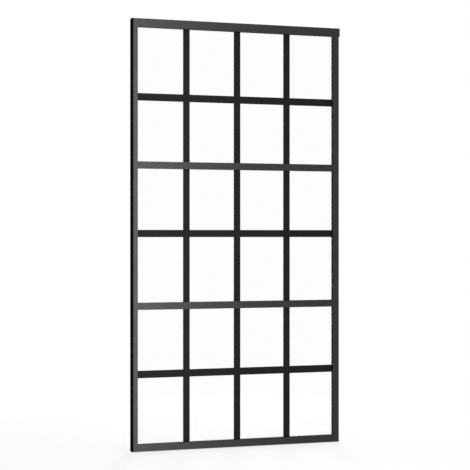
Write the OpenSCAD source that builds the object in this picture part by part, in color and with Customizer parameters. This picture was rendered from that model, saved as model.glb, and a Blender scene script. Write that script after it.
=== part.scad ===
// Framed glass sliding-door leaf: extruded frame, three glass panels with half-lapped glazing bars,
// snap-in beads, a closing seal and two grooved rollers in the channel of the bottom rail.
// X runs along the width, the front faces -Y, and Z = 0 is the plane that the rollers run on.

/* [Leaf] */
// Width over the outer faces of the two stiles
leaf_w = 1022; // [800:1:1300]
// Height of the frame from its underside to the top of the top rail
leaf_h = 2015; // [1800:5:2400]
// Thickness from the front face to the back face
leaf_t = 40; // [38:1:48]
// Face width of the left stile, which carries the closing seal
left_stile_w = 21; // [20:1:40]
// Face width of the right stile
right_stile_w = 31; // [20:1:40]
// Face height of the top rail
top_rail_h = 40; // [36:1:60]
// Face height of the bottom rail
bottom_rail_h = 34; // [32:1:60]
// Face height of each of the two mid rails
mid_rail_h = 33; // [31:1:50]

/* [Extrusions] */
// Wall of the extruded frame members
wall = 1.6; // [1.2:0.1:2]
// Wall under the glazing pocket, thicker because the bead clips into it
floor_wall = 2; // [1.6:0.1:3]
// Depth of the front part of each member, from the front face to the glazing pocket
lip_depth = 20; // [19:0.5:22]
// How far the front part overlaps the glazing pocket
pocket = 12; // [11:0.5:14]
// Wall of a round screw port inside an extrusion
port_wall = 0.95; // [0.8:0.05:1.2]
// Thickness of the rib that carries a screw port
rib_t = 2; // [1.2:0.1:3]
// Depth of the rail screw ports behind the front face
rail_port_b = 6.6; // [5.6:0.1:6.8]
// Distance of the rail screw ports from the rail's upper and lower face
rail_port_inset = 8; // [6.5:0.1:9]
// Distance of the stile screw ports from the stile's side faces
stile_port_inset = 5.3; // [5.2:0.1:6]

/* [Glazing] */
// Glass thickness
glass_t = 6; // [4:0.5:8]
// Thickness of the gasket on each face of the glass and under its edge
gasket_t = 2; // [1.5:0.1:2.5]
// Height of the gasket's legs above the pocket's floor
gasket_leg = 8; // [5:0.5:9]
// Height of the bead where it presses on the gasket
bead_base = 8; // [6:0.5:9]
// Height of the bead at the back face
bead_top = 4; // [3:0.5:6]
// Depth of the bead's straight nose, before its slope starts
bead_nose = 1.5; // [1:0.1:2.5]
// Wall of the hollow bead
bead_wall = 1.2; // [0.8:0.1:1.4]
// Width of the groove that takes the bead's foot
clip_w = 3; // [2:0.1:4]
// Depth of the groove that takes the bead's foot
clip_d = 1; // [0.6:0.1:1.2]
// Gap round the bead's foot
clip_gap = 0.1; // [0.05:0.05:0.2]
// Distance of the bead's foot from the mitred corners
clip_end = 15; // [12:1:40]

/* [Glazing bars] */
// Width of the upright glazing bars
bar_w = 30; // [20:1:45]
// Height of the cross bars
cross_bar_h = 34; // [20:1:45]
// Thickness of every glazing bar
bar_t = 3; // [2:0.2:4]
// Number of upright bars in a panel
upright_count = 3; // [1:1:3]
// Gap between a bar's end and the frame
bar_end_gap = 0.5; // [0.2:0.1:1]
// Gap on each side of a half-lap joint
lap_gap = 0.05; // [0.02:0.01:0.2]
// Height of the cross bar above or below the middle of its panel
cross_bar_shift = 10; // [0:1:60]

/* [Seal, cap and plugs] */
// Width of the closing seal on the left edge
seal_w = 7; // [4:0.5:10]
// Wall of the closing seal round its hollow cells
seal_wall = 1.2; // [0.8:0.1:1.5]
// Chamfer of the closing seal's outer edges
seal_chamfer = 0.8; // [0.3:0.1:1.5]
// Width of the slot that takes the closing seal's foot
seal_slot_w = 4; // [3:0.1:6]
// How far the foot's barbs spread beyond the slot on each side
seal_barb = 0.8; // [0.4:0.1:1.2]
// Thickness of the end cap on the top rail
cap_w = 5; // [2:0.5:10]
// Length of the end cap's plugs inside the top rail
cap_plug_l = 12; // [6:1:20]
// Gap round every plug
plug_gap = 0.15; // [0.1:0.05:0.3]
// Wall of the hollow plugs in the stiles' lower ends
stile_plug_wall = 1; // [0.8:0.1:1.5]
// Length of the plugs in the stiles' lower ends
stile_plug_l = 14; // [8:1:30]
// Flange of the plugs in the screw access holes
access_flange = 1.5; // [1:0.1:2]
// Thickness of that flange
access_flange_t = 1; // [0.6:0.1:1.5]

/* [Screws] */
// Radius of the frame screws
screw_r = 2.4; // [2:0.1:2.6]
// Length of the frame screws under the head
screw_l = 40; // [35:1:60]
// Head radius of the frame screws
screw_head_r = 3.9; // [3.3:0.1:3.9]
// Head height of the frame screws
screw_head_h = 3; // [2:0.1:3.5]
// Radial gap between a screw and the port that it is driven into
thread_gap = 0.05; // [0.02:0.01:0.1]
// Radial gap between a screw and a clearance hole
hole_gap = 0.2; // [0.1:0.05:0.4]
// Radius of the screw access holes in the stiles' outer walls
access_r = 5; // [4.2:0.1:5]
// Half the width across the corners of the screws' hexagon sockets
socket_r = 1.7; // [1.2:0.1:1.8]
// Depth of the screws' hexagon sockets
socket_d = 1.6; // [1:0.1:1.8]

/* [Guide and rollers] */
// Width of the head guide channel in the top rail
guide_w = 16; // [16:0.5:17.5]
// Depth of the head guide channel
guide_d = 18; // [12:0.5:20]
// Width of the track channel in the bottom rail
track_w = 16; // [16:0.5:18]
// Depth of the track channel
track_d = 18; // [17:0.5:18]
// Height of the frame's underside above the track
roller_drop = 3; // [2:0.1:3.5]
// Distance of the rollers from the stiles' outer faces
roller_inset = 110; // [80:5:250]
// Radius of the roller wheels
wheel_r = 9; // [8:0.1:9.2]
// Width of the roller wheels
wheel_w = 7; // [5:0.1:7.5]
// Width of the wheel's hub
hub_w = 8.6; // [7.6:0.1:8.8]
// Radius of the wheel's hub
hub_r = 4.5; // [4:0.1:5.5]
// Radius of the groove round the wheel
groove_r = 2; // [1:0.1:2.4]
// Radius of the axles
axle_r = 2.5; // [2:0.1:2.8]
// Radial running gap between wheel and axle
run_gap = 0.05; // [0.02:0.01:0.1]
// Gap between the wheel's hub and each cheek of the bracket
cheek_gap = 0.4; // [0.3:0.05:0.6]
// Sheet thickness of the roller brackets
bracket_t = 1.5; // [1.2:0.1:1.8]
// Length of a roller bracket
bracket_l = 64; // [60:1:90]
// Length of a roller bracket's cheeks
cheek_l = 24; // [18:1:30]
// Radius of the rounded lower end of the cheeks
cheek_r = 5.5; // [4.5:0.1:5.8]
// Distance of the bracket screws from the wheel's axis
bracket_screw_x = 23; // [20:0.5:26]
// How far the bracket screws sit in front of the wheel's middle
bracket_screw_y = 3.6; // [3:0.1:4]
// Radius of the bracket screws
bracket_screw_r = 2; // [1.5:0.1:2]
// Head radius of the bracket screws
bracket_head_r = 3.4; // [2.6:0.1:3.6]
// Head height of the bracket screws
bracket_head_h = 2.2; // [1.5:0.1:2.6]
// Length of the bracket screws under the head
bracket_screw_l = 8; // [6:0.5:10]
// Radius of the riveted axle ends
rivet_r = 3.6; // [3.2:0.1:4]
// Height of the riveted axle ends
rivet_h = 0.8; // [0.4:0.1:0.9]

/* [Hidden] */
$fn = 48;
// Cuts run this far past a face
past = 1;

PANELS = ["lower", "middle", "upper"];
SIDES = ["left", "right", "bottom", "top"];
FACES = ["front", "back"];
// The cross bar stands above the middle of its panel where this is 1, and below it where it is -1
CROSS_SIDE = [1, 1, -1];
UPRIGHTS = [1:upright_count];

FRAME_COLOUR = "#45474a";
BAR_COLOUR = "#26272a";
RUBBER_COLOUR = "#101112";
PLASTIC_COLOUR = "#3a3b3e";
GLASS_COLOUR = [0.86, 0.94, 0.92, 0.35];
STEEL_COLOUR = "#a9adb2";
NYLON_COLOUR = "#d9d8d2";

// Outer faces of the leaf, with the origin under the middle of the whole width
total_w = seal_w + leaf_w + cap_w;
left_x = -total_w / 2 + seal_w;
right_x = left_x + leaf_w;
front_y = -leaf_t / 2;
base_z = roller_drop;
top_z = base_z + leaf_h;

// Clear openings between the front lips
opening_x = left_x + left_stile_w;
opening_w = leaf_w - left_stile_w - right_stile_w;
// Rounded down to 0.01 mm, so that the three openings never add up to more than the height between the rails
opening_h = floor(100 * (leaf_h - top_rail_h - bottom_rail_h - 2 * mid_rail_h) / 3) / 100;
panel_pitch = opening_h + mid_rail_h;
top_rail_z = top_z - top_rail_h;

// Depths behind the front face
glass_b = lip_depth + gasket_t;
gasket_depth = glass_t + 2 * gasket_t;
bead_b = lip_depth + gasket_depth;
bead_depth = leaf_t - bead_b;
clip_b = bead_b + bead_depth / 2 - clip_w / 2;
front_bar_b = glass_b - bar_t;
back_bar_b = glass_b + glass_t;

// The channels are centred behind the lips, and the stile ports lie under the guide channel's floor
guide_b = lip_depth - guide_w / 2;
track_b = lip_depth - track_w / 2;
head_gap = 0.3;
stile_port_b = guide_b + screw_head_r + head_gap;
port_r = screw_r + thread_gap;
ring_r = port_r + port_wall;
hole_r = screw_r + hole_gap;
pocket_l = opening_w + 2 * pocket;
pocket_h = opening_h + 2 * pocket;
// The stiles' back parts reach up into the top rail's pocket
stile_h = leaf_h - top_rail_h + pocket;
// Middle of the closing seal's foot, in the back chamber of the left stile
seal_foot_b = (lip_depth + leaf_t - wall) / 2;

// Rails that are screwed from the stiles, by the height of their underside, and their screws
RAIL_Z = [base_z, panel_z(1) - mid_rail_h, panel_z(2) - mid_rail_h];
RAIL_H = [bottom_rail_h, mid_rail_h, mid_rail_h];
SCREW_Z = [for (i = [0:2]) for (z = [rail_port_inset, RAIL_H[i] - rail_port_inset]) RAIL_Z[i] + z];

// Rollers
axle_z = wheel_r;
track_y = front_y + lip_depth;
cheek_y = hub_w / 2 + cheek_gap;
bracket_w = 2 * (cheek_y + bracket_t);
ceiling_z = base_z + track_d;
ROLLER_X = [left_x + roller_inset, right_x - roller_inset];

// Height of the lower edge of a panel's clear opening
function panel_z(p) = base_z + bottom_rail_h + p * panel_pitch;
// Middle height of a panel's cross bar
function cross_z(p) = panel_z(p) + opening_h / 2 + CROSS_SIDE[p] * cross_bar_shift;
// Middle of an upright bar: evenly spaced, and centred on the whole width
function upright_x(k) = (k - (upright_count + 1) / 2) * (opening_w + bar_w) / (upright_count + 1);
// Places of the screw ports across a stile
function stile_ports(w) = [stile_port_inset, w - stile_port_inset];

// Sections lie in a plane with x across the member, from its outer face, and y from front to back

module port_rings(places, b, wall_b) {
    for (a = places) {
        translate([a, b])
            circle(r = ring_r);
        translate([a - rib_t / 2, min(b, wall_b)])
            square([rib_t, abs(wall_b - b)]);
    }
}

module port_bores(places, b) {
    for (a = places)
        translate([a, b])
            circle(r = port_r);
}

module clip_groove(floor_a, outward) {
    translate([outward > 0 ? floor_a - clip_d : floor_a - past, clip_b])
        square([clip_d + past, clip_w]);
}

module stile_section(w) {
    stem_w = w - pocket;
    difference() {
        union() {
            square([w, lip_depth]);
            square([stem_w, leaf_t]);
        }
        difference() {
            translate([wall, wall])
                square([w - 2 * wall, lip_depth - 2 * wall]);
            port_rings(stile_ports(w), stile_port_b, lip_depth - wall / 2);
        }
        translate([wall, lip_depth])
            square([stem_w - wall - floor_wall, leaf_t - lip_depth - wall]);
        port_bores(stile_ports(w), stile_port_b);
        clip_groove(stem_w, 1);
    }
}

module mid_rail_section() {
    stem_h = mid_rail_h - 2 * pocket;
    ports = [rail_port_inset, mid_rail_h - rail_port_inset];
    difference() {
        union() {
            square([mid_rail_h, lip_depth]);
            translate([pocket, 0])
                square([stem_h, leaf_t]);
        }
        difference() {
            translate([wall, wall])
                square([mid_rail_h - 2 * wall, lip_depth - 2 * wall]);
            port_rings(ports, rail_port_b, wall / 2);
        }
        translate([pocket + floor_wall, lip_depth])
            square([stem_h - 2 * floor_wall, leaf_t - lip_depth - wall]);
        port_bores(ports, rail_port_b);
        clip_groove(pocket + stem_h, 1);
        clip_groove(pocket, -1);
    }
}

// A rail with an open channel along its outer face, used upright at the bottom and upside down at the top
module channel_rail_section(h, channel_w, channel_d, channel_b, ports) {
    stem_h = h - pocket;
    channel_end_b = channel_b + channel_w;
    spare_h = stem_h - channel_d - wall - floor_wall;
    difference() {
        union() {
            square([h, lip_depth]);
            square([stem_h, leaf_t]);
        }
        translate([-past, channel_b])
            square([channel_d + past, channel_w]);
        difference() {
            union() {
                translate([wall, wall])
                    square([h - 2 * wall, channel_b - 2 * wall]);
                translate([channel_d + wall, wall])
                    square([h - channel_d - 2 * wall, lip_depth - 2 * wall]);
            }
            port_rings(ports, rail_port_b, wall / 2);
        }
        translate([wall, channel_end_b + wall])
            square([stem_h - wall - floor_wall, leaf_t - channel_end_b - 2 * wall]);
        // The back chamber goes on under the channel's floor where the rail is tall enough
        if (spare_h > wall)
            translate([channel_d + wall, lip_depth])
                square([spare_h, leaf_t - lip_depth - wall]);
        port_bores(ports, rail_port_b);
        clip_groove(stem_h, 1);
    }
}

// Extrudes a section to the left from x_end, with the section's x axis pointing up from z
module along_rail(x_end, z, l) {
    translate([x_end, front_y, z])
        rotate([0, -90, 0])
            linear_extrude(l)
                children();
}

// Space that the stiles' lips take out of both ends of a rail
module lip_notches(z, h) {
    for (x = [opening_x - pocket - past, opening_x + opening_w])
        translate([x, front_y - past, z - past])
            cube([pocket + past, lip_depth + past, h + 2 * past]);
}

// Stile in its own frame, with its outer face at x = 0 and its opening towards +X
module stile(w) {
    difference() {
        linear_extrude(stile_h)
            stile_section(w);
        translate([-past, -past, leaf_h - top_rail_h])
            cube([w + 2 * past, lip_depth + past, pocket + past]);
        for (z = SCREW_Z)
            translate([0, rail_port_b, z - base_z])
                rotate([0, 90, 0]) {
                    translate([0, 0, -past])
                        cylinder(r = access_r, h = wall + 2 * past);
                    translate([0, 0, w - wall - past])
                        cylinder(r = hole_r, h = wall + 2 * past);
                }
    }
}

module seal_slot() {
    translate([-past, seal_foot_b - seal_slot_w / 2, -past])
        cube([wall + 1.5 * past, seal_slot_w, stile_h + 2 * past]);
}

module left_stile() {
    color(FRAME_COLOUR)
        translate([left_x, front_y, base_z])
            difference() {
                stile(left_stile_w);
                seal_slot();
            }
}

module right_stile() {
    color(FRAME_COLOUR)
        translate([right_x, front_y, base_z])
            mirror([1, 0, 0])
                stile(right_stile_w);
}

// Middle of every screw that comes down from the top rail into the stiles
TOP_SCREW_X = concat(
    [for (a = stile_ports(left_stile_w)) left_x + a],
    [for (a = stile_ports(right_stile_w)) right_x - a]
);

module top_rail() {
    color(FRAME_COLOUR)
        difference() {
            translate([0, 0, top_z])
                mirror([0, 0, 1])
                    along_rail(right_x, 0, leaf_w)
                        channel_rail_section(top_rail_h, guide_w, guide_d, guide_b, []);
            for (x = TOP_SCREW_X)
                translate([x, front_y + stile_port_b, top_rail_z - past])
                    cylinder(r = hole_r, h = top_rail_h - guide_d + 2 * past);
        }
}

module bottom_rail() {
    ports = [rail_port_inset, bottom_rail_h - rail_port_inset];
    color(FRAME_COLOUR)
        difference() {
            along_rail(opening_x + opening_w + pocket, base_z, pocket_l)
                channel_rail_section(bottom_rail_h, track_w, track_d, track_b, ports);
            lip_notches(base_z, bottom_rail_h);
            for (at = bracket_screw_places())
                translate([at.x, at.y, ceiling_z - past])
                    cylinder(r = bracket_screw_r + hole_gap, h = wall + 2 * past);
        }
}

module mid_rail(p) {
    z = panel_z(p) - mid_rail_h;
    color(FRAME_COLOUR)
        difference() {
            along_rail(opening_x + opening_w + pocket, z, pocket_l)
                mid_rail_section();
            lip_notches(z, mid_rail_h);
        }
}

module glass(p) {
    color(GLASS_COLOUR)
        glass_block(p);
}

module glass_block(p) {
    edge = pocket - gasket_t;
    translate([opening_x - edge, front_y + glass_b, panel_z(p) - edge])
        cube([opening_w + 2 * edge, glass_t, opening_h + 2 * edge]);
}

module gasket(p) {
    rim = pocket - gasket_leg;
    color(RUBBER_COLOUR)
        difference() {
            translate([opening_x - pocket, front_y + lip_depth, panel_z(p) - pocket])
                cube([pocket_l, gasket_depth, pocket_h]);
            translate([opening_x - rim, front_y + lip_depth - past, panel_z(p) - rim])
                cube([opening_w + 2 * rim, gasket_depth + 2 * past, opening_h + 2 * rim]);
            glass_block(p);
        }
}

module bead_section() {
    slope_b = bead_b + bead_nose;
    difference() {
        polygon([[0, bead_b], [bead_base, bead_b], [bead_base, slope_b], [bead_top, leaf_t], [0, leaf_t]]);
        polygon([
            [bead_wall, bead_b + bead_wall],
            [bead_base - bead_wall, bead_b + bead_wall],
            [bead_base - bead_wall, slope_b],
            [bead_top - bead_wall, leaf_t - bead_wall],
            [bead_wall, leaf_t - bead_wall]
        ]);
    }
}

// Bead along a pocket floor of length l, with x up from the floor, z along it and mitred ends
module bead_along(l) {
    intersection() {
        linear_extrude(l)
            bead_section();
        rotate([-90, 0, 0])
            linear_extrude(leaf_t + past)
                polygon([[0, 0], [0, -l], [bead_base + past, bead_base + past - l],
                         [bead_base + past, -bead_base - past]]);
    }
    translate([-clip_d + clip_gap, clip_b + clip_gap, clip_end])
        cube([clip_d, clip_w - 2 * clip_gap, l - 2 * clip_end]);
}

// Places something built along the left floor of a panel's pocket on one of its four sides
module on_side(p, side) {
    low = [opening_x - pocket, front_y, panel_z(p) - pocket];
    if (side == "left")
        translate(low)
            children();
    if (side == "right")
        translate(low + [pocket_l, 0, 0])
            mirror([1, 0, 0])
                children();
    if (side == "bottom")
        translate(low)
            mirror([1, 0, -1])
                children();
    if (side == "top")
        translate(low + [0, 0, pocket_h])
            mirror([0, 0, 1])
                mirror([1, 0, -1])
                    children();
}

module bead(p, side) {
    upright = side == "left" || side == "right";
    color(FRAME_COLOUR)
        on_side(p, side)
            bead_along(upright ? pocket_h : pocket_l);
}

// Front bars fit between the lips, and back bars between the gasket's legs, which stand farther out
function bar_overrun(face) = (face == "front" ? 0 : pocket - max(gasket_leg, bead_base)) - bar_end_gap;
function bar_y(face) = front_y + (face == "front" ? front_bar_b : back_bar_b);
// The outer half of a bar's thickness and the half on the glass
function outer_half_y(face) = bar_y(face) + (face == "front" ? -past : bar_t / 2);
function glass_half_y(face) = bar_y(face) + (face == "front" ? bar_t / 2 : -past);

module cross_bar(p, face) {
    over = bar_overrun(face);
    color(BAR_COLOUR)
        difference() {
            translate([opening_x - over, bar_y(face), cross_z(p) - cross_bar_h / 2])
                cube([opening_w + 2 * over, bar_t, cross_bar_h]);
            for (k = UPRIGHTS)
                translate([upright_x(k) - bar_w / 2 - lap_gap, glass_half_y(face), cross_z(p) - cross_bar_h])
                    cube([bar_w + 2 * lap_gap, bar_t / 2 + past, 2 * cross_bar_h]);
        }
}

module upright_bar(p, face, k) {
    over = bar_overrun(face);
    color(BAR_COLOUR)
        difference() {
            translate([upright_x(k) - bar_w / 2, bar_y(face), panel_z(p) - over])
                cube([bar_w, bar_t, opening_h + 2 * over]);
            translate([upright_x(k) - bar_w, outer_half_y(face), cross_z(p) - cross_bar_h / 2 - lap_gap])
                cube([2 * bar_w, bar_t / 2 + past, cross_bar_h + 2 * lap_gap]);
        }
}

// Closing seal: three hollow cells in front of the stile's outer face
module seal_section() {
    cell_w = (leaf_t - 4 * seal_wall) / 3;
    difference() {
        polygon([[0, 0], [0, leaf_t], [seal_chamfer - seal_w, leaf_t], [-seal_w, leaf_t - seal_chamfer],
                 [-seal_w, seal_chamfer], [seal_chamfer - seal_w, 0]]);
        for (i = [0:2])
            translate([seal_wall - seal_w, seal_wall + i * (cell_w + seal_wall)])
                square([seal_w - 2 * seal_wall, cell_w]);
    }
}

// Barbed foot that snaps into the slot of the left stile
module seal_foot_section() {
    barb_w = seal_slot_w / 2 + seal_barb;
    neck_w = seal_slot_w / 2 - plug_gap;
    root = -seal_wall / 2;
    tip = wall + seal_wall;
    translate([0, seal_foot_b])
        polygon([[root, -neck_w], [wall, -neck_w], [wall, -barb_w], [tip, -neck_w],
                 [tip, neck_w], [wall, barb_w], [wall, neck_w], [root, neck_w]]);
}

// The foot stops above the plug in the stile's lower end and below the top rail
module closing_seal() {
    foot_z = stile_plug_l + plug_gap;
    color(RUBBER_COLOUR)
        translate([left_x, front_y, base_z]) {
            linear_extrude(leaf_h)
                seal_section();
            translate([0, 0, foot_z])
                linear_extrude(stile_h - foot_z)
                    seal_foot_section();
        }
}

// End cap with two plugs that fit the front and the back chamber of the top rail
module top_end_cap() {
    stem_h = top_rail_h - pocket;
    back_b = guide_b + guide_w + wall;
    color(PLASTIC_COLOUR) {
        translate([right_x, front_y, top_rail_z])
            cube([cap_w, lip_depth, top_rail_h]);
        translate([right_x, front_y, top_rail_z + pocket])
            cube([cap_w, leaf_t, stem_h]);
        translate([right_x - cap_plug_l, front_y + wall + plug_gap, top_rail_z + wall + plug_gap])
            cube([cap_plug_l + past, guide_b - 2 * (wall + plug_gap), top_rail_h - 2 * (wall + plug_gap)]);
        translate([right_x - cap_plug_l, front_y + back_b + plug_gap, top_rail_z + pocket + floor_wall + plug_gap])
            cube([cap_plug_l + past, leaf_t - back_b - wall - 2 * plug_gap,
                  stem_h - wall - floor_wall - 2 * plug_gap]);
    }
}

// Hollow plug pressed up into the back chamber of a stile, seen from the stile's own frame
module stile_plug(w) {
    plug_a = w - pocket - wall - floor_wall - 2 * plug_gap;
    plug_b = leaf_t - lip_depth - wall - 2 * plug_gap;
    translate([wall + plug_gap, lip_depth + plug_gap, 0])
        difference() {
            cube([plug_a, plug_b, stile_plug_l]);
            translate([stile_plug_wall, stile_plug_wall, stile_plug_wall])
                cube([plug_a - 2 * stile_plug_wall, plug_b - 2 * stile_plug_wall, stile_plug_l]);
        }
}

module stile_plugs() {
    color(PLASTIC_COLOUR) {
        translate([left_x, front_y, base_z])
            stile_plug(left_stile_w);
        translate([right_x, front_y, base_z])
            mirror([1, 0, 0])
                stile_plug(right_stile_w);
    }
}

// Plugs over the screw access holes, on the right stile only: the closing seal covers the left ones
module screw_plugs() {
    color(PLASTIC_COLOUR)
        for (z = SCREW_Z)
            translate([right_x, front_y + rail_port_b, z])
                rotate([0, 90, 0]) {
                    cylinder(r = access_r + access_flange, h = access_flange_t);
                    translate([0, 0, -2 * wall])
                        cylinder(r = access_r - plug_gap, h = 2 * wall);
                }
}

// Screw along +Z with the underside of its head at z = 0
module socket_screw(r, l, head_r, head_h) {
    difference() {
        translate([0, 0, -head_h])
            cylinder(r = head_r, h = head_h);
        translate([0, 0, -head_h - past])
            cylinder(r = socket_r, h = socket_d + past, $fn = 6);
    }
    cylinder(r = r, h = l);
}

module side_screw(w, z) {
    translate([w - wall, rail_port_b, z - base_z])
        rotate([0, 90, 0])
            socket_screw(screw_r, screw_l, screw_head_r, screw_head_h);
}

module frame_screws() {
    color(STEEL_COLOUR) {
        for (z = SCREW_Z) {
            translate([left_x, front_y, base_z])
                side_screw(left_stile_w, z);
            translate([right_x, front_y, base_z])
                mirror([1, 0, 0])
                    side_screw(right_stile_w, z);
        }
        for (x = TOP_SCREW_X)
            translate([x, front_y + stile_port_b, top_z - guide_d])
                mirror([0, 0, 1])
                    socket_screw(screw_r, screw_l, screw_head_r, screw_head_h);
    }
}

function bracket_screw_places() = [
    for (x = ROLLER_X) for (dx = [-bracket_screw_x, bracket_screw_x]) [x + dx, track_y - bracket_screw_y]
];

// Folded bracket: a plate under the channel's ceiling, with two cheeks that carry the axle
module roller_bracket(x) {
    cheek_h = ceiling_z - axle_z;
    color(STEEL_COLOUR)
        translate([x, track_y, 0])
            difference() {
                union() {
                    translate([-bracket_l / 2, -bracket_w / 2, ceiling_z - bracket_t])
                        cube([bracket_l, bracket_w, bracket_t]);
                    for (y = [cheek_y + bracket_t, -cheek_y])
                        translate([0, y, axle_z])
                            rotate([90, 0, 0])
                                linear_extrude(bracket_t)
                                    cheek_outline(cheek_h);
                }
                translate([0, bracket_w, axle_z])
                    rotate([90, 0, 0])
                        cylinder(r = axle_r + run_gap, h = 2 * bracket_w);
                for (dx = [-bracket_screw_x, bracket_screw_x])
                    translate([dx, -bracket_screw_y, ceiling_z - bracket_t - past])
                        cylinder(r = bracket_screw_r + hole_gap, h = bracket_t + 2 * past);
            }
}

// Cheek with its axle at the origin, tapering from the plate to a round lower end
module cheek_outline(h) {
    circle(r = cheek_r);
    polygon([[-cheek_r, 0], [cheek_r, 0], [cheek_l / 2, h - bracket_t], [cheek_l / 2, h],
             [-cheek_l / 2, h], [-cheek_l / 2, h - bracket_t]]);
}

module roller_wheel(x) {
    color(NYLON_COLOUR)
        translate([x, track_y, axle_z])
            rotate([90, 0, 0])
                rotate_extrude()
                    difference() {
                        union() {
                            translate([axle_r + run_gap, -wheel_w / 2])
                                square([wheel_r - axle_r - run_gap, wheel_w]);
                            translate([axle_r + run_gap, -hub_w / 2])
                                square([hub_r - axle_r - run_gap, hub_w]);
                        }
                        translate([wheel_r, 0])
                            circle(r = groove_r);
                    }
}

module roller_axles() {
    axle_l = bracket_w + 2 * rivet_h;
    color(STEEL_COLOUR)
        for (x = ROLLER_X)
            translate([x, track_y, axle_z])
                rotate([90, 0, 0]) {
                    cylinder(r = axle_r, h = axle_l, center = true);
                    for (end = [-1, 1])
                        translate([0, 0, end * (axle_l - rivet_h) / 2])
                            cylinder(r = rivet_r, h = rivet_h, center = true);
                }
}

module roller_screws() {
    color(STEEL_COLOUR)
        for (at = bracket_screw_places())
            translate([at.x, at.y, ceiling_z - bracket_t])
                socket_screw(bracket_screw_r, bracket_screw_l, bracket_head_r, bracket_head_h);
}

left_stile();
right_stile();
top_rail();
bottom_rail();
mid_rail(1);  // lower_mid_rail
mid_rail(2);  // upper_mid_rail
for (p = [0:2]) {
    glass(p);
    gasket(p);
    for (side = SIDES)
        bead(p, side);
    for (face = FACES) {
        cross_bar(p, face);
        for (k = UPRIGHTS)
            upright_bar(p, face, k);
    }
}
closing_seal();
top_end_cap();
stile_plugs();
screw_plugs();
frame_screws();
roller_bracket(ROLLER_X[0]);  // left_roller_bracket
roller_bracket(ROLLER_X[1]);  // right_roller_bracket
roller_wheel(ROLLER_X[0]);  // left_roller_wheel
roller_wheel(ROLLER_X[1]);  // right_roller_wheel
roller_axles();
roller_screws();
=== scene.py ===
from math import radians

import bmesh
import bpy
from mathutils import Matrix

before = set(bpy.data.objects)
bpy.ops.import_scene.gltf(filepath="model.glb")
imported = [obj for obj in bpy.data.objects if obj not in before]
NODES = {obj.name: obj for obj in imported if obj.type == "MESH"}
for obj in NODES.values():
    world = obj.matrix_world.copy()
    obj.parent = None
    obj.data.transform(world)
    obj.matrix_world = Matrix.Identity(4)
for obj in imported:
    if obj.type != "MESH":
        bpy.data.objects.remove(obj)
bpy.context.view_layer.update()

SCENE = bpy.context.scene

# Lengths are in metres, angles in degrees and the camera's sensor in millimetres

# Camera worked out from the photograph's perspective: level, with no roll
IMAGE_WIDTH = 470
FOCAL_PIXELS = 1242
SENSOR_WIDTH = 36
CAMERA_PLACE = (-1.738, -5.669, 1.0105)
CAMERA_PITCH = 90
CAMERA_YAW = 16.94

# Ends of the nodes' names that take each finish, and what the names of the upright bars hold
FINISH_ENDS = {
    "cross_bar": ("_cross_bar",),
    "glass": ("_glass",),
    "rubber": ("_gasket", "_seal"),
    "nylon": ("_wheel",),
    "plastic": ("_cap", "_plugs"),
    "steel": ("_bracket", "_axles", "_screws"),
    "frame": ("_stile", "_rail", "_bead"),
}
UPRIGHT_BAR_MARK = "_bar_"

# Radius to which the light rounds the edges of each material
EDGE_RADIUS = {"coat": 0.0008, "rubber": 0.0004, "plastic": 0.0006, "steel": 0.0002, "nylon": 0.0003}
EDGE_SAMPLES = 4

# Values between which most of a noise texture lies
NOISE_RANGE = (0.3, 0.7)

# Share of the fine grains in a powder coat's speckle. The rest is broad blotches
GRAIN_SHARE = 0.65

# Stretch of a noise texture into lines that run along an upright or a cross bar
LINES_ALONG_UPRIGHT = (1, 1, 0.02)
LINES_ALONG_CROSS_BAR = (0.02, 1, 1)

# Strength of the white studio: seen directly or through glass, mirrored in front and behind, and as fill
SEEN = 1.0
REFLECTED_FRONT = 0.75
REFLECTED_BACK = 0.02
AMBIENT = 0.2

# Y of the directions between which the mirrored studio fades from front to back
FADE_FRONT = -0.5
FADE_BACK = 0.1

# The floor glows, takes a shadow as far as FLOOR_NEAR from the door, and is plain white from FLOOR_FAR on
FLOOR_HALF = 40
FLOOR_COLOUR = (0.45, 0.45, 0.45, 1)
FLOOR_SHADOW_COLOUR = (0.3, 0.3, 0.3, 1)
FLOOR_GLOW = 0.69
FLOOR_NEAR = 0.7
FLOOR_FAR = 2.4


# Each value is a number or another node's output
def math_node(tree, operation, *values, clamp=False):
    node = tree.nodes.new("ShaderNodeMath")
    node.operation = operation
    node.use_clamp = clamp
    for socket, value in zip(node.inputs, values):
        if isinstance(value, (int, float)):
            socket.default_value = value
        else:
            tree.links.new(value, socket)
    return node.outputs["Value"]


def add(tree, first, second):
    return math_node(tree, "ADD", first, second)


def multiply(tree, first, second):
    return math_node(tree, "MULTIPLY", first, second)


def map_range(tree, value, start, end, smooth=False):
    node = tree.nodes.new("ShaderNodeMapRange")
    if smooth:
        node.interpolation_type = "SMOOTHSTEP"
    for name, number in zip(("From Min", "From Max", "To Min", "To Max"), (*start, *end)):
        node.inputs[name].default_value = number
    tree.links.new(value, node.inputs["Value"])
    return node.outputs["Result"]


def coordinates(tree, stretch=(1, 1, 1)):
    source = tree.nodes.new("ShaderNodeTexCoord")
    mapping = tree.nodes.new("ShaderNodeMapping")
    mapping.inputs["Scale"].default_value = stretch
    tree.links.new(source.outputs["Object"], mapping.inputs["Vector"])
    return mapping.outputs["Vector"]


def axes_of(tree, kind):
    source = tree.nodes.new("ShaderNodeTexCoord")
    axes = tree.nodes.new("ShaderNodeSeparateXYZ")
    tree.links.new(source.outputs[kind], axes.inputs["Vector"])
    return axes.outputs


def noise(tree, vector, scale, detail, roughness):
    node = tree.nodes.new("ShaderNodeTexNoise")
    node.inputs["Scale"].default_value = scale
    node.inputs["Detail"].default_value = detail
    node.inputs["Roughness"].default_value = roughness
    tree.links.new(vector, node.inputs["Vector"])
    return node.outputs["Fac"]


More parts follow.
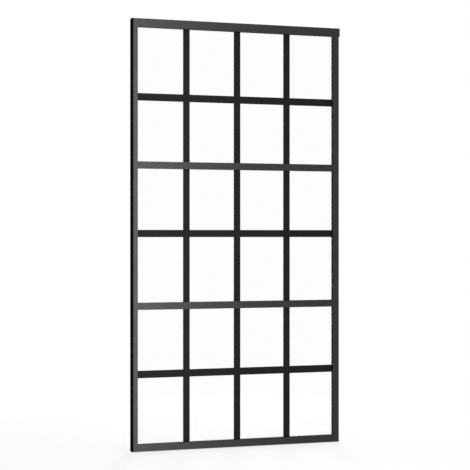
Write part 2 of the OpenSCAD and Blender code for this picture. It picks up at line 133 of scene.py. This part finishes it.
def bump(tree, height, distance, strength, under=None):
    node = tree.nodes.new("ShaderNodeBump")
    node.inputs["Distance"].default_value = distance
    node.inputs["Strength"].default_value = strength
    tree.links.new(height, node.inputs["Height"])
    if under is not None:
        tree.links.new(under, node.inputs["Normal"])
    return node.outputs["Normal"]


# Normal that is rounded over the edges, so that they catch the light as a real edge does
def soft_edges(tree, material):
    node = tree.nodes.new("ShaderNodeBevel")
    node.samples = EDGE_SAMPLES
    node.inputs["Radius"].default_value = EDGE_RADIUS[material]
    return node.outputs["Normal"]


def principled(name, sockets):
    material = bpy.data.materials.new(name)
    material.use_nodes = True
    shader = material.node_tree.nodes["Principled BSDF"]
    for socket, value in sockets.items():
        shader.inputs[socket].default_value = value
    return material, material.node_tree, shader


# Colour that goes from dark to light over the given values of a pattern
def colour_by(tree, shader, pattern, dark, light, over):
    node = tree.nodes.new("ShaderNodeValToRGB")
    for element, place, colour in zip(node.color_ramp.elements, over, (dark, light)):
        element.position = place
        element.color = (*colour, 1)
    tree.links.new(pattern, node.inputs["Fac"])
    tree.links.new(node.outputs["Color"], shader.inputs["Base Color"])


def roughness_by(tree, shader, pattern, smooth, rough, over=NOISE_RANGE):
    tree.links.new(map_range(tree, pattern, over, (smooth, rough)), shader.inputs["Roughness"])


# Fine-textured coat on metal: speckled colour, uneven gloss, grains of about 0.3 mm and a soft orange peel
def powder_coat(name, dark, light, smooth, rough, specular, grain, die_lines=None):
    material, tree, shader = principled(name, {"Specular IOR Level": specular, "IOR": 1.5})
    place = coordinates(tree)
    grains = noise(tree, place, scale=3200, detail=2.0, roughness=0.6)
    blotches = noise(tree, place, scale=45, detail=3.0, roughness=0.55)
    peel = noise(tree, place, scale=420, detail=1.0, roughness=0.4)
    speckle = add(tree, multiply(tree, grains, GRAIN_SHARE), multiply(tree, blotches, 1 - GRAIN_SHARE))
    colour_by(tree, shader, speckle, dark, light, over=(0.36, 0.64))
    roughness_by(tree, shader, blotches, smooth, rough)
    normal = bump(tree, peel, distance=0.0002, strength=0.12, under=soft_edges(tree, "coat"))
    if die_lines:
        lines = noise(tree, coordinates(tree, die_lines), scale=900, detail=3.0, roughness=0.6)
        normal = bump(tree, lines, distance=0.0001, strength=0.18, under=normal)
    normal = bump(tree, grains, distance=0.00008, strength=grain, under=normal)
    tree.links.new(normal, shader.inputs["Normal"])
    return material


def frame_coat():
    return powder_coat(
        "frame_coat", dark=(0.0097, 0.0117, 0.0129), light=(0.0139, 0.016, 0.0172),
        smooth=0.29, rough=0.36, specular=0.25, grain=0.22)


# The bars are darker and duller than the frame, with the die's lines along them
def bar_coat(name, die_lines):
    return powder_coat(
        name, dark=(0.0067, 0.0072, 0.0081), light=(0.0103, 0.0109, 0.0119),
        smooth=0.36, rough=0.44, specular=0.055, grain=0.2, die_lines=die_lines)


# Clear toughened glass: a trace of green, roller waves and a thin uneven haze
def clear_glass():
    material, tree, shader = principled("clear_glass", {
        "Base Color": (0.994, 0.999, 0.997, 1),
        "Transmission Weight": 1.0,
        "IOR": 1.5,
        "Specular IOR Level": 0.5,
    })
    haze = noise(tree, coordinates(tree), scale=14, detail=4.0, roughness=0.6)
    roughness_by(tree, shader, haze, smooth=0.0, rough=0.012, over=(0.45, 0.8))
    waves = noise(tree, coordinates(tree, stretch=(0.35, 1, 1.6)), scale=4, detail=0.0, roughness=0.5)
    tree.links.new(bump(tree, waves, distance=0.0004, strength=0.08), shader.inputs["Normal"])
    return material


# Black rubber: matte, with a bloom of slightly greyer patches and fine extrusion lines
def black_rubber():
    material, tree, shader = principled("black_rubber", {"Specular IOR Level": 0.02, "IOR": 1.4})
    bloom = noise(tree, coordinates(tree), scale=120, detail=4.0, roughness=0.6)
    colour_by(
        tree, shader, bloom, dark=(0.0035, 0.0035, 0.0038), light=(0.0065, 0.0065, 0.007), over=(0.35, 0.7))
    roughness_by(tree, shader, bloom, smooth=0.72, rough=0.9)
    lines = noise(tree, coordinates(tree, stretch=(1, 1, 0.01)), scale=1600, detail=2.0, roughness=0.6)
    normal = bump(tree, lines, distance=0.0002, strength=0.2, under=soft_edges(tree, "rubber"))
    tree.links.new(normal, shader.inputs["Normal"])
    return material


# Satin moulded plastic with a fine spark-eroded texture
def satin_plastic():
    material, tree, shader = principled("satin_plastic", {"Specular IOR Level": 0.3, "IOR": 1.46})
    place = coordinates(tree)
    pits = noise(tree, place, scale=2600, detail=2.0, roughness=0.7)
    cloud = noise(tree, place, scale=180, detail=2.0, roughness=0.5)
    colour_by(tree, shader, cloud, dark=(0.022, 0.023, 0.025), light=(0.03, 0.031, 0.033), over=NOISE_RANGE)
    roughness_by(tree, shader, pits, smooth=0.42, rough=0.56)
    normal = bump(tree, pits, distance=0.0001, strength=0.25, under=soft_edges(tree, "plastic"))
    tree.links.new(normal, shader.inputs["Normal"])
    return material


# Bright zinc plating: cloudy grey with fine rolling lines
def zinc_steel():
    material, tree, shader = principled("zinc_steel", {"Metallic": 1.0})
    cloud = noise(tree, coordinates(tree), scale=260, detail=4.0, roughness=0.65)
    colour_by(tree, shader, cloud, dark=(0.42, 0.43, 0.45), light=(0.58, 0.6, 0.62), over=NOISE_RANGE)
    roughness_by(tree, shader, cloud, smooth=0.26, rough=0.44)
    lines = noise(tree, coordinates(tree, stretch=(0.03, 1, 1)), scale=2200, detail=2.0, roughness=0.6)
    normal = bump(tree, lines, distance=0.00006, strength=0.3, under=soft_edges(tree, "steel"))
    tree.links.new(normal, shader.inputs["Normal"])
    return material


# Off-white nylon that lets a little light in, scuffed all over
def white_nylon():
    material, tree, shader = principled("white_nylon", {
        "Subsurface Weight": 0.25,
        "Subsurface Radius": (0.8, 0.75, 0.6),
        "Subsurface Scale": 0.001,
        "Specular IOR Level": 0.4,
        "IOR": 1.53,
    })
    scuffs = noise(tree, coordinates(tree), scale=700, detail=4.0, roughness=0.7)
    colour_by(tree, shader, scuffs, dark=(0.6, 0.585, 0.54), light=(0.72, 0.71, 0.67), over=(0.32, 0.6))
    roughness_by(tree, shader, scuffs, smooth=0.36, rough=0.52)
    normal = bump(tree, scuffs, distance=0.0001, strength=0.15, under=soft_edges(tree, "nylon"))
    tree.links.new(normal, shader.inputs["Normal"])
    return material


FINISHES = {
    "frame": frame_coat(),
    "upright_bar": bar_coat("upright_bar_coat", LINES_ALONG_UPRIGHT),
    "cross_bar": bar_coat("cross_bar_coat", LINES_ALONG_CROSS_BAR),
    "glass": clear_glass(),
    "rubber": black_rubber(),
    "plastic": satin_plastic(),
    "steel": zinc_steel(),
    "nylon": white_nylon(),
}


def finish_of(name):
    if UPRIGHT_BAR_MARK in name:
        return "upright_bar"
    for finish, ends in FINISH_ENDS.items():
        if name.endswith(ends):
            return finish
    raise ValueError("no finish for " + name)


def dress(name, piece):
    finish = finish_of(name)
    piece.data.materials.clear()
    piece.data.materials.append(FINISHES[finish])
    # Lamps shine through the panes without the cost of caustics
    if finish == "glass":
        piece.visible_shadow = False


# What a ray is, by Light Path: seen directly or through glass, or part of a reflection
def ray_kinds(tree):
    path = tree.nodes.new("ShaderNodeLightPath").outputs
    scattered = math_node(tree, "MINIMUM", path["Diffuse Depth"], 1.0)
    mirrored = math_node(tree, "MINIMUM", path["Glossy Depth"], 1.0)
    reflected = math_node(tree, "SUBTRACT", mirrored, scattered, clamp=True)
    through_glass = math_node(tree, "MAXIMUM", path["Is Glossy Ray"], path["Is Transmission Ray"])
    direct = math_node(tree, "MAXIMUM", path["Is Camera Ray"], through_glass)
    seen = math_node(tree, "SUBTRACT", direct, add(tree, reflected, scattered), clamp=True)
    return seen, reflected


def make_world():
    world = bpy.data.worlds.new("studio")
    SCENE.world = world
    world.use_nodes = True
    tree = world.node_tree
    tree.nodes.clear()
    seen, reflected = ray_kinds(tree)
    around = math_node(tree, "SUBTRACT", 1.0, add(tree, seen, reflected), clamp=True)
    mirror = map_range(
        tree, axes_of(tree, "Generated")["Y"],
        (FADE_FRONT, FADE_BACK), (REFLECTED_FRONT, REFLECTED_BACK), smooth=True)
    shown = add(tree, multiply(tree, seen, SEEN), multiply(tree, reflected, mirror))
    background = tree.nodes.new("ShaderNodeBackground")
    background.inputs["Color"].default_value = (1, 1, 1, 1)
    tree.links.new(add(tree, shown, multiply(tree, around, AMBIENT)), background.inputs["Strength"])
    output = tree.nodes.new("ShaderNodeOutputWorld")
    tree.links.new(background.outputs["Background"], output.inputs["Surface"])


def mix_shaders(tree, factor, first, second):
    node = tree.nodes.new("ShaderNodeMixShader")
    for socket, value in zip(node.inputs, (factor, first, second)):
        tree.links.new(value, socket)
    return node.outputs["Shader"]


def emission(tree, strength):
    node = tree.nodes.new("ShaderNodeEmission")
    node.inputs["Strength"].default_value = strength
    return node.outputs["Emission"]


def diffuse(tree, colour):
    node = tree.nodes.new("ShaderNodeBsdfDiffuse")
    node.inputs["Color"].default_value = colour
    return node.outputs["BSDF"]


# White floor that keeps a soft shadow near the door and runs into the white background farther out
def pale_floor():
    material = bpy.data.materials.new("pale_floor")
    material.use_nodes = True
    tree = material.node_tree
    tree.nodes.clear()
    seen, reflected = ray_kinds(tree)
    axes = axes_of(tree, "Object")
    squares = [math_node(tree, "POWER", axes[axis], 2.0) for axis in "XY"]
    distance = math_node(tree, "SQRT", add(tree, *squares))
    far = map_range(tree, distance, (FLOOR_NEAR, FLOOR_FAR), (0.0, 1.0), smooth=True)
    near = tree.nodes.new("ShaderNodeAddShader")
    tree.links.new(diffuse(tree, FLOOR_SHADOW_COLOUR), near.inputs[0])
    tree.links.new(emission(tree, FLOOR_GLOW), near.inputs[1])
    shown = mix_shaders(tree, far, near.outputs["Shader"], emission(tree, SEEN))
    top = mix_shaders(tree, seen, diffuse(tree, FLOOR_COLOUR), shown)
    # The floor is clear from below, so that the rollers can be looked at,
    # and clear to reflections that have passed the glass
    below = tree.nodes.new("ShaderNodeNewGeometry").outputs["Backfacing"]
    hidden = math_node(tree, "MAXIMUM", below, reflected)
    clear = tree.nodes.new("ShaderNodeBsdfTransparent").outputs["BSDF"]
    output = tree.nodes.new("ShaderNodeOutputMaterial")
    tree.links.new(mix_shaders(tree, hidden, top, clear), output.inputs["Surface"])
    return material


def make_floor():
    mesh = bpy.data.meshes.new("floor")
    grid = bmesh.new()
    bmesh.ops.create_grid(grid, x_segments=1, y_segments=1, size=FLOOR_HALF)
    grid.to_mesh(mesh)
    grid.free()
    mesh.materials.append(pale_floor())
    floor = bpy.data.objects.new("floor", mesh)
    SCENE.collection.objects.link(floor)
    # The softbox reaches below the floor, so that the door's lower end mirrors it as the upper end does
    floor.visible_glossy = False
    floor.visible_shadow = False


def area_lamp(name, place, turn, size, watts, mirrored=True):
    data = bpy.data.lights.new(name, "AREA")
    data.shape = "RECTANGLE"
    data.size, data.size_y = size
    data.energy = watts
    lamp = bpy.data.objects.new(name, data)
    lamp.location = place
    lamp.rotation_euler = [radians(angle) for angle in turn]
    lamp.visible_camera = False
    lamp.visible_transmission = False
    lamp.visible_glossy = mirrored
    SCENE.collection.objects.link(lamp)


def make_lamps():
    # A tall softbox stands where the left half of the frame mirrors it towards the camera
    area_lamp("softbox", place=(0.05, -5.2, 1.0), turn=(90, 0, 0), size=(1.2, 4.6), watts=228)
    area_lamp("overhead", place=(0.3, -0.4, 4.6), turn=(0, 0, 0), size=(3.0, 3.0), watts=110)
    # One behind gives the back and the right edge some shape, and leaves faces that look left dark
    area_lamp(
        "back_softbox", place=(1.6, 4.6, 1.2), turn=(-90, 0, -18), size=(1.2, 3.0), watts=300, mirrored=False)


def make_camera():
    data = bpy.data.cameras.new("camera")
    data.sensor_width = SENSOR_WIDTH
    data.lens = SENSOR_WIDTH * FOCAL_PIXELS / IMAGE_WIDTH
    camera = bpy.data.objects.new("camera", data)
    camera.location = CAMERA_PLACE
    camera.rotation_euler = (radians(CAMERA_PITCH), 0, radians(-CAMERA_YAW))
    SCENE.collection.objects.link(camera)
    SCENE.camera = camera


for name, piece in NODES.items():
    dress(name, piece)

make_camera()
make_world()
make_floor()
make_lamps()

SCENE.view_settings.view_transform = "Standard"
